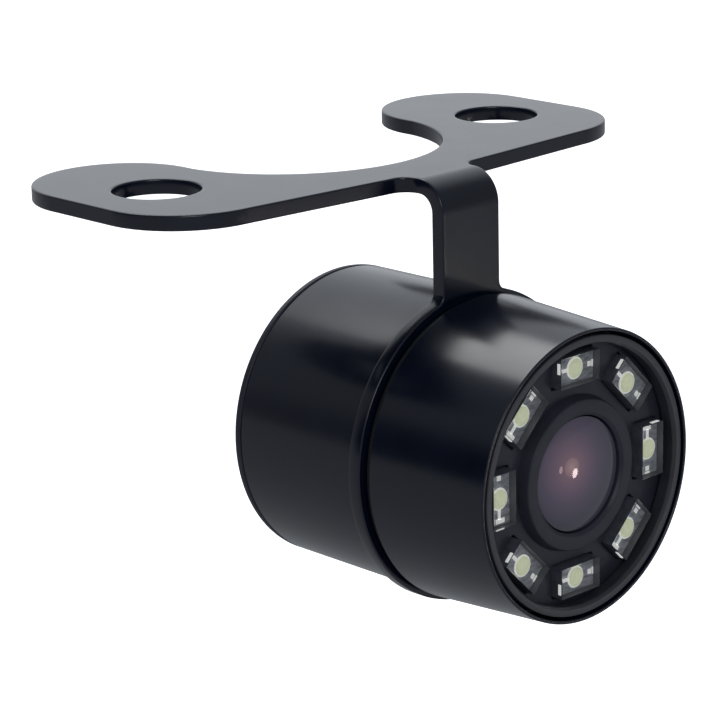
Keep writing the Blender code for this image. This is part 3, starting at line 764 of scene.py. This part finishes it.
def make_floor():
    """White to the eye. As a light it is dim, like the studio round it."""
    below = CAD_LOW.z - FLOOR_DROP
    bpy.ops.mesh.primitive_plane_add(size=FLOOR_SIZE, location=(0.0, 0.0, below))
    floor = bpy.context.object
    floor.name = "studio_floor"
    material = new_material("studio_floor", (0.9, 0.9, 0.9), 0.9)
    glow = add_node(material, "ShaderNodeEmission", Strength=1.0)
    to_the_eye = add_node(material, "ShaderNodeAddShader")
    as_light = add_node(material, "ShaderNodeEmission", Strength=FLOOR_LIGHT)
    as_light.inputs["Color"].default_value = STUDIO_TINT
    path = add_node(material, "ShaderNodeLightPath")
    mix = add_node(material, "ShaderNodeMixShader")
    link(material, shader_of(material).outputs["BSDF"], to_the_eye.inputs[0])
    link(material, glow.outputs["Emission"], to_the_eye.inputs[1])
    link(material, path.outputs["Is Camera Ray"], mix.inputs["Fac"])
    link(material, as_light.outputs["Emission"], mix.inputs[1])
    link(material, to_the_eye.outputs["Shader"], mix.inputs[2])
    output = material.node_tree.nodes["Material Output"]
    link(material, mix.outputs["Shader"], output.inputs["Surface"])
    floor.data.materials.append(material)


def make_studio():
    bpy.context.scene.view_settings.view_transform = "Standard"
    make_world()
    make_floor()
    area_light("overhead_softbox", (0.121, 0.524, 0.843), 0.6, (0.36, 0.2), 0.9)
    area_light("front_key", (-0.5, -0.75, 0.45), 0.7, (0.3, 0.3), 0.9)
    warm, pink = (1.0, 0.9, 0.85), (1.0, 0.8, 0.8)
    spark_size, ghost_size = (0.042, 0.042), (0.025, 0.035)
    area_light("lens_spark", (0.63, -0.72, -0.28), 0.7, spark_size, 0.06, warm, "ELLIPSE")
    area_light("lens_ghost", (0.5, -0.82, -0.23), 0.7, ghost_size, 0.009, pink, "ELLIPSE")


# ---------------------------------------------------------------- bracket
SHEET_EDGE = 0.14 * MM
HOLE_SPACING = 40.0 * MM
HOLE_RADIUS = 3.7 * MM
HOLE_Y = 10.0 * MM
NECK_HALF = 3.34 * MM
BEND_RADIUS = 2.1 * MM
CORNER_FILLET = 1.5 * MM
RING_FILLET = 0.9 * MM
RING_BORE = 10.8 * MM
WING_END_RADIUS = 7.25 * MM
WING_CORNER_RADIUS = 7.7 * MM
WING_FRONT = -0.8 * MM
WING_FRONT_AT_NECK = -1.9 * MM
NOTCH_RADIUS = 13.0 * MM
NOTCH_CENTRE = 15.3 * MM
WING_EDGE = bracket_high.x
WING_REAR = bracket_high.y
BEND_START = NECK_Y + BEND_RADIUS
BEND_LENGTH = BEND_RADIUS * pi / 2
RING_IN_BLANK = BEND_START - BEND_LENGTH + SHEET / 2 + BEND_RADIUS + AXIS_Z
BEND_STEPS = 24


def bracket_outline():
    """Right half of the flat blank, from the notch round to the foot of the ring."""
    wing_centre = (WING_EDGE - WING_END_RADIUS, WING_REAR - WING_END_RADIUS)
    corner_centre = (WING_EDGE - WING_CORNER_RADIUS, WING_FRONT + WING_CORNER_RADIUS)
    fillet_centre = (NECK_HALF + CORNER_FILLET, WING_FRONT_AT_NECK - CORNER_FILLET)
    notch_end = degrees(acos((wing_centre[0] - WING_END_RADIUS) / NOTCH_RADIUS))
    points = arc((0.0, NOTCH_CENTRE), NOTCH_RADIUS, -90, -notch_end, 40)
    points += arc(wing_centre, WING_END_RADIUS, 178, 0, 60)
    points += arc(corner_centre, WING_CORNER_RADIUS, 0, -90, 32)
    points += arc(fillet_centre, CORNER_FILLET, 90, 180, 14)
    reach = RING_RADIUS + RING_FILLET
    side = NECK_HALF + RING_FILLET
    rise = sqrt(reach**2 - side**2)
    leave = degrees(atan2(rise, side))
    points += arc((side, RING_IN_BLANK + rise), RING_FILLET, 180, 180 + leave, 10)
    points += arc((0.0, RING_IN_BLANK), RING_RADIUS, leave, -90, 90)[1:]
    return points


def folded(point):
    """Where a point of the blank goes when the neck is bent down."""
    past = BEND_START - point.y
    level = -SHEET / 2
    if past <= 0:
        return Vector((point.x, point.y, level + point.z))
    angle = min(past / BEND_RADIUS, pi / 2)
    reach = BEND_RADIUS + point.z
    straight = max(past - BEND_LENGTH, 0.0)
    y = BEND_START - reach * sin(angle)
    return Vector((point.x, y, level - BEND_RADIUS + reach * cos(angle) - straight))


def make_bracket():
    right = bracket_outline()
    left = [(-x, y) for x, y in reversed(right[1:-1])]
    outlines = [right + left]
    for side in (1, -1):
        outlines.append(circle((side * HOLE_SPACING / 2, HOLE_Y), HOLE_RADIUS, 96))
    outlines.append(circle((0.0, RING_IN_BLANK), RING_BORE, 160))
    shape = sheet(outlines, SHEET, SHEET_EDGE)
    for step in range(BEND_STEPS + 1):
        line = Vector((0.0, BEND_START - BEND_LENGTH * step / BEND_STEPS, 0.0))
        everything = shape.verts[:] + shape.edges[:] + shape.faces[:]
        bmesh.ops.bisect_plane(shape, geom=everything, plane_co=line, plane_no=(0, 1, 0))
    for vertex in shape.verts:
        vertex.co = folded(vertex.co)
    face_outward(shape)
    name = "bracket_stamping"
    even_normals(add_piece(name, shape, "black_coat", "bracket", ["bracket"]))


# ---------------------------------------------------------------- barrels
BARREL_SEGMENTS = 256


def make_front_barrel():
    rim = ahead_of(barrel_low.y)
    rim_radius, shoulder_radius = 12.35 * MM, 13.07 * MM
    shoulder = 1.4 * MM
    spigot = 10.6 * MM
    spigot_end = ahead_of(barrel_high.y)
    spigot_bore = 9.3 * MM
    web = 4.0 * MM
    bore = 10.75 * MM
    shelf = 10.47 * MM
    seal_inner, seal_outer = 11.1 * MM, 11.85 * MM
    seal_floor = 9.7 * MM
    lip_bore = 12.05 * MM
    outline = [
        (rim_radius, rim),
        (shoulder_radius, shoulder),
        (spigot, shoulder),
        (spigot, spigot_end),
        (spigot_bore, spigot_end),
        (spigot_bore, web),
        (bore, web),
        (bore, shelf),
        (seal_inner, shelf),
        (seal_inner, seal_floor),
        (seal_outer, seal_floor),
        (seal_outer, shelf),
        (lip_bore, shelf),
        (lip_bore, rim),
    ]
    pitch, depth = 0.75 * MM, 0.35 * MM
    start, end = shoulder - 0.6 * MM, spigot_end + 0.4 * MM
    turned_piece(
        "front_barrel_shell",
        with_thread(eased(outline, 0.11 * MM), spigot, start, end, pitch),
        "black_coat",
        "camera",
        ["front_barrel"],
        BARREL_SEGMENTS,
        (spigot, pitch, depth),
    )


SHELL_REAR_RADIUS = 12.83 * MM


def make_rear_barrel():
    mouth = ahead_of(rear_low.y)
    seam = ahead_of(rear_high.y)
    mouth_radius = 12.9 * MM
    cap_bore = 11.6 * MM
    thread_bore, thread_front, thread_rear = 10.8 * MM, -2.05 * MM, -6.0 * MM
    mouth_bore = 12.0 * MM
    outline = [
        (mouth_radius, mouth),
        (SHELL_REAR_RADIUS, seam),
        (cap_bore, seam),
        (cap_bore, thread_rear),
        (thread_bore, thread_rear),
        (thread_bore, thread_front),
        (mouth_bore, thread_front),
        (mouth_bore, mouth),
    ]
    turned_piece(
        "rear_barrel_shell",
        eased(outline, 0.1 * MM),
        "black_coat",
        "rear_shell",
        ["rear_barrel"],
        BARREL_SEGMENTS,
    )


def make_rear_cap():
    plug_front = ahead_of(cap_low.y)
    face = ahead_of(cap_high.y)
    seam = ahead_of(rear_high.y) - 0.2 * MM
    plug = 11.4 * MM
    seal_floor, seal_front, seal_rear = 10.6 * MM, -12.95 * MM, -14.05 * MM
    groove_outer, groove_inner, groove_depth = 9.8 * MM, 9.15 * MM, 0.12 * MM
    groove_slope = 0.15 * MM
    inlet = 3.1 * MM
    cavity, cavity_floor = 9.9 * MM, -14.3 * MM
    outline = [
        (plug, plug_front),
        (plug, seal_front),
        (seal_floor, seal_front),
        (seal_floor, seal_rear),
        (plug, seal_rear),
        (plug, seam),
        (SHELL_REAR_RADIUS, seam),
        (SHELL_REAR_RADIUS, face),
        (groove_outer, face),
        (groove_outer - groove_slope, face + groove_depth),
        (groove_inner + groove_slope, face + groove_depth),
        (groove_inner, face),
        (inlet, face),
        (inlet, cavity_floor),
        (cavity, cavity_floor),
        (cavity, plug_front),
    ]
    turned_piece(
        "rear_cap_moulding",
        eased(outline, 0.2 * MM),
        "black_plastic",
        "rear_shell",
        ["rear_cap"],
        BARREL_SEGMENTS,
    )


def make_grommet():
    low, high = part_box("cable_grommet")
    front, tail = ahead_of(low.y), ahead_of(high.y)
    flange, flange_rear = 4.4 * MM, -14.1 * MM
    neck, neck_rear = 2.9 * MM, ahead_of(cap_high.y) - 0.2 * MM
    boot, boot_tip = 3.9 * MM, 3.3 * MM
    boot_groove = 3.75 * MM
    collar_rear, groove_front, groove_rear = -16.0 * MM, -16.25 * MM, -16.5 * MM
    bore = 1.9 * MM
    outline = [
        (flange, front),
        (flange, flange_rear),
        (neck, flange_rear),
        (neck, neck_rear),
        (flange, neck_rear),
        (flange, collar_rear),
        (boot, groove_front),
        (boot_groove, groove_front),
        (boot_groove, groove_rear),
        (boot, groove_rear),
        (boot_tip, tail),
        (bore, tail),
        (bore, front),
    ]
    turned_piece(
        "cable_grommet_moulding",
        eased(outline, 0.15 * MM),
        "rubber",
        "rear_shell",
        ["cable_grommet"],
        96,
    )


def make_washer():
    front, rear = ahead_of(washer_low.y), ahead_of(washer_high.y)
    outer, inner = 12.75 * MM, 10.8 * MM
    outline = [(outer, front), (outer, rear), (inner, rear), (inner, front)]
    turned_piece(
        "clamp_washer_rubber",
        eased(outline, 0.12 * MM),
        "rubber",
        "camera",
        ["clamp_washer"],
        192,
    )


def make_seal(node, body):
    """A round-section rubber ring that fills the CAD ring's own box."""
    low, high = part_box(node)
    thick = (high.y - low.y) / 2
    middle = ahead_of((low.y + high.y) / 2)
    outer = (high.x - low.x) / 2
    profile = arc((outer - thick, middle), thick, 0, 360, 20)[:-1]
    turned_piece(f"{node}_ring", profile, "rubber", body, [node], 128)


# ---------------------------------------------------------------- lamp face
LAMP_CIRCLE = 8.95 * MM
LAMP_LENGTH = 4.6 * MM
LAMP_WIDTH = 2.6 * MM
WINDOW_GAP = 0.18 * MM
MASK_FACE = 11.77 * MM
MASK_RADIUS = 11.7 * MM
MASK_BORE = 5.6 * MM
COLLAR_BORE = 4.95 * MM
COLLAR_RADIUS = 6.3 * MM
COLLAR_FOOT = 0.3 * MM

CARRIER_DEPTH = 1.38 * MM  # from the block's face back to the carrier's
CARRIER_MARGIN = 0.08 * MM
CUP_RADIUS = 0.95 * MM
CUP_HEIGHT = 0.14 * MM
CUP_TAPER = 0.96  # the front of the cup's radius against its foot
DOT_RADIUS = 0.82 * MM
DOT_HEIGHT = 0.5 * MM
FOIL = 0.08 * MM
TURNED_LAMPS = (5, 6, 7)  # soldered the other way round, which also moves their end tab with its painted glint
LEADS = (  # middle along and across the lamp, then length and width
    (-1.72 * MM, 0.0, 0.36 * MM, 0.42 * MM),  # the narrow end's inner pad
    (-2.1 * MM, 0.0, 0.16 * MM, 0.6 * MM),  # and its outer pad
    (1.85 * MM, 0.1 * MM, 0.4 * MM, 1.0 * MM),  # the wide end's pad
    (1.3 * MM, 0.0, 0.8 * MM, 0.3 * MM),  # its link to the cup
)
GLINT_TAB_WIDTH = 0.9 * MM
GLINT_TAB_FRONT, GLINT_TAB_REAR = 0.12 * MM, 0.4 * MM  # the white end tab's span behind the block's face; the tab is a lead, and also a painted reflection for the glints in the block's end


def lamp_angle(number):
    return 2 * pi * number / LAMPS


def lamp_place(number):
    """A lamp's middle, right of the axis and above it, and how far its length is turned."""
    angle = lamp_angle(number)
    return (LAMP_CIRCLE * cos(angle), LAMP_CIRCLE * sin(angle)), angle + pi / 2


def make_mask():
    collar_front = ahead_of(mask_low.y)
    back = ahead_of(mask_high.y)
    outlines = [circle((0.0, 0.0), MASK_RADIUS, 200), circle((0.0, 0.0), MASK_BORE, 120)]
    for number in range(1, LAMPS + 1):
        centre, turn = lamp_place(number)
        size = (LAMP_LENGTH + 2 * WINDOW_GAP, LAMP_WIDTH + 2 * WINDOW_GAP)
        outlines.append(rectangle(centre, size, WINDOW_GAP, turn))
    plate = sheet(outlines, MASK_FACE - back, 0.07 * MM)
    stand_up(plate, (MASK_FACE + back) / 2)
    name = "lamp_mask_moulding"
    piece = add_piece(name, plate, "black_plastic", "camera", ["lamp_mask"])

    foot = COLLAR_RADIUS + COLLAR_FOOT
    foot_front, foot_rear = MASK_FACE - 0.02 * MM, back + 0.2 * MM
    chamfer = 0.25 * MM
    outline = [
        (COLLAR_RADIUS, collar_front),
        (foot, foot_front),
        (foot, foot_rear),
        (COLLAR_BORE, foot_rear),
        (COLLAR_BORE, collar_front - chamfer),
        (COLLAR_BORE + chamfer, collar_front),
    ]
    collar_mesh = bpy.data.meshes.new("collar")
    collar_shape = turned(eased(outline, 0.14 * MM))
    collar_shape.to_mesh(collar_mesh)
    collar_shape.free()
    collar = bpy.data.objects.new("collar", collar_mesh)
    bpy.context.scene.collection.objects.link(collar)
    union = piece.modifiers.new("collar", "BOOLEAN")
    union.operation = "UNION"
    union.object = collar
    apply_modifiers(piece)
    bpy.data.objects.remove(collar)
    piece.data.shade_smooth()
    piece.data.set_sharp_from_angle(angle=SHARP_TURN)
    even_normals(piece)


def apply_modifiers(piece):
    graph = bpy.context.evaluated_depsgraph_get()
    mesh = bpy.data.meshes.new_from_object(piece.evaluated_get(graph))
    piece.modifiers.clear()
    piece.data = mesh


def make_bezel():
    front, rear = ahead_of(bezel_low.y), ahead_of(bezel_high.y)
    inner, outer = 11.0 * MM, 11.75 * MM
    bevel_depth, bevel_width = 0.32 * MM, 0.16 * MM
    outline = [
        (outer, front),
        (outer, rear),
        (inner, rear),
        (inner, front - bevel_depth),
        (inner + bevel_width, front),
    ]
    turned_piece(
        "bezel_ring_turned",
        eased(outline, 0.08 * MM),
        "bezel_grey",
        "camera",
        ["bezel_ring"],
        BARREL_SEGMENTS,
    )


def make_lamp(number):
    """One lamp: clear block, dark carrier inside it, phosphor dot in a white cup, white leads."""
    node = f"lamp_{number}"
    low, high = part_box(node)
    front, rear = ahead_of(low.y), ahead_of(high.y)
    offset, turn = lamp_place(number)
    carrier_front = front - CARRIER_DEPTH
    wide_end = -1 if number in TURNED_LAMPS else 1

    size = (LAMP_LENGTH, LAMP_WIDTH, front - rear)
    block = box_shape((0, 0, (front + rear) / 2), size, 0.06 * MM)
    to_barrel_axes(block, turn, offset)
    for face in block.faces:
        clear = abs(face.normal.y) > 0.5  # its front and back are clear, and its sides are frosted
        face.material_index = 0 if clear else 1
    piece = add_piece(f"{node}_block", block, "clear_block", "camera", [node])
    piece.data.materials.append(MATERIALS["lamp_side"])
    even_normals(piece)

    size = [span - 2 * CARRIER_MARGIN for span in (LAMP_LENGTH, LAMP_WIDTH, carrier_front - rear)]
    carrier = box_shape((0, 0, carrier_front - size[2] / 2), size, 0.04 * MM)
    to_barrel_axes(carrier, turn, offset)
    add_piece(f"{node}_carrier", carrier, "lamp_carrier", "camera")

    leads = bmesh.new()
    add_disc(leads, CUP_RADIUS, carrier_front, carrier_front + CUP_HEIGHT, 48)
    for along, across, length, width in LEADS:
        middle = (wide_end * along, across)
        add_block(leads, middle, (length, width), carrier_front, carrier_front + FOIL)
    # white tab on the block's end: partly a lead, partly a painted reflection standing in for the
    # white glints seen there
    glint_tab = (wide_end * (LAMP_LENGTH / 2 + FOIL / 4), -GLINT_TAB_WIDTH / 2)
    add_block(leads, glint_tab, (FOIL, GLINT_TAB_WIDTH), front - GLINT_TAB_REAR, front - GLINT_TAB_FRONT)
    to_barrel_axes(leads, turn, offset)
    add_piece(f"{node}_leads", leads, "lamp_white", "camera")

    dot = bmesh.new()
    base = carrier_front + CUP_HEIGHT
    add_dome(dot, DOT_RADIUS, base, base + DOT_HEIGHT, 40)
    to_barrel_axes(dot, turn, offset)
    add_piece(f"{node}_phosphor", dot, "phosphor", "camera")


def add_disc(shape, radius, rear, front, segments):
    """A disc with tapered sides."""
    made = bmesh.ops.create_cone(
        shape,
        cap_ends=True,
        segments=segments,
        radius1=radius,
        radius2=radius * CUP_TAPER,
        depth=front - rear,
    )
    bmesh.ops.translate(shape, vec=(0, 0, (front + rear) / 2), verts=made["verts"])


def add_block(shape, centre, size, rear, front):
    made = bmesh.ops.create_cube(shape, size=1.0)
    bmesh.ops.scale(shape, vec=(size[0], size[1], front - rear), verts=made["verts"])
    middle = (centre[0], centre[1], (front + rear) / 2)
    bmesh.ops.translate(shape, vec=middle, verts=made["verts"])


def add_dome(shape, radius, base, apex, segments):
    """A low dome of phosphor gel with a flat underside."""
    levels = 5
    loops = []
    for level in range(levels):
        tilt = pi / 2 * level / levels
        rim = circle((0.0, 0.0), radius * cos(tilt), segments)
        height = base + (apex - base) * sin(tilt)
        loops.append([shape.verts.new((x, y, height)) for x, y in rim])
    top = shape.verts.new((0.0, 0.0, apex))
    for one, two in zip(loops, loops[1:]):
        for s in range(segments):
            following = (s + 1) % segments
            shape.faces.new((one[s], one[following], two[following], two[s]))
    for s in range(segments):
        shape.faces.new((loops[-1][s], loops[-1][(s + 1) % segments], top))
    shape.faces.new(loops[0][::-1])


# ---------------------------------------------------------------- lens
def make_front_lens():
    low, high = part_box("front_lens")
    apex, foot = ahead_of(low.y), ahead_of(high.y)
    edge, seat = 12.35 * MM, 12.05 * MM
    foot_radius = 3.9 * MM
    hollow_radius, hollow_top = 3.3 * MM, 12.1 * MM
    front = dome(LENS_RADIUS, edge, apex, 24)
    side = [(LENS_RADIUS, seat), (foot_radius, seat), (foot_radius, foot)]
    hollow = dome(hollow_radius, foot, hollow_top, 16)[::-1]
    profile = front + side + hollow
    name = "front_lens_glass"
    turned_piece(name, profile, "front_glass", "lens", ["front_lens"], 128)


def make_inner_lens(node, front_edge, rear_edge, front_steps, segments):
    """A lens with two curved faces. Each reaches the lens's rim at its own edge."""
    low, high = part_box(node)
    reach = (high.x - low.x) / 2
    front = dome(reach, front_edge, ahead_of(low.y), front_steps)
    rear = dome(reach, rear_edge, ahead_of(high.y), 12)[::-1]
    name = f"{node}_glass"
    turned_piece(name, front + rear, "coated_glass", "lens", [node], segments)


def make_lens_barrel():
    low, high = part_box("lens_barrel")
    head_front, body_rear = ahead_of(low.y), ahead_of(high.y)
    head, head_rear = 4.75 * MM, 7.6 * MM
    body = 3.5 * MM
    rear_bore, ledge = 2.35 * MM, 8.0 * MM
    bore, seat = 3.45 * MM, 11.25 * MM
    mouth = 4.05 * MM
    outline = [
        (head, head_front),
        (head, head_rear),
        (body, head_rear),
        (body, body_rear),
        (rear_bore, body_rear),
        (rear_bore, ledge),
        (bore, ledge),
        (bore, seat),
        (mouth, seat),
        (mouth, head_front),
    ]
    pitch, depth = 0.5 * MM, 0.2 * MM
    start, end = head_rear - 0.4 * MM, body_rear + 0.3 * MM
    turned_piece(
        "lens_barrel_turned",
        with_thread(eased(outline, 0.08 * MM), body, start, end, pitch),
        "dark_metal",
        "lens",
        ["lens_barrel"],
        128,
        (body, pitch, depth),
    )


def make_camera_face():
    make_mask()
    make_bezel()
    for number in range(1, LAMPS + 1):
        make_lamp(number)
    make_front_lens()
    make_inner_lens("middle_lens", 9.8 * MM, 9.3 * MM, 20, 96)
    make_inner_lens("rear_lens", 3.9 * MM, 2.7 * MM, 12, 64)
    make_lens_barrel()


# ---------------------------------------------------------------- carried-over nodes
CARRIED = {
    "lamp_board": "circuit_board",
    "sensor_board": "circuit_board",
    "power_board": "circuit_board",
    "lamp_resistor_1": "chip",
    "lamp_resistor_2": "chip",
    "lens_spacer": "dark_metal",
    "aperture_stop": "dark_metal",
    "lens_lock_ring": "dark_metal",
    "lens_holder": "black_plastic",
    "ir_filter": "filter_glass",
    "image_sensor": "chip",
    "video_chip": "chip",
    "clock_crystal": "steel",
    "holder_screw_1": "steel",
    "holder_screw_2": "steel",
    "board_spacer_1": "brass",
    "board_spacer_2": "brass",
    "board_spacer_3": "brass",
    "board_header": "chip",
    "voltage_regulator": "chip",
    "filter_capacitor": "steel",
    "power_inductor": "chip",
    "cable_socket": "socket_white",
    "lamp_wire_red": "wire_red",
    "lamp_wire_black": "wire_black",
}


def finish_carried_nodes():
    for name, finish in CARRIED.items():
        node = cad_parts[name]
        node.data.materials.clear()
        node.data.materials.append(MATERIALS[finish])


make_camera()
make_studio()
make_bracket()
make_front_barrel()
make_rear_barrel()
make_rear_cap()
make_grommet()
make_washer()
make_seal("face_seal", "camera")
make_seal("thread_seal", "thread_seal")
make_seal("cap_seal", "rear_shell")
make_camera_face()
finish_carried_nodes()
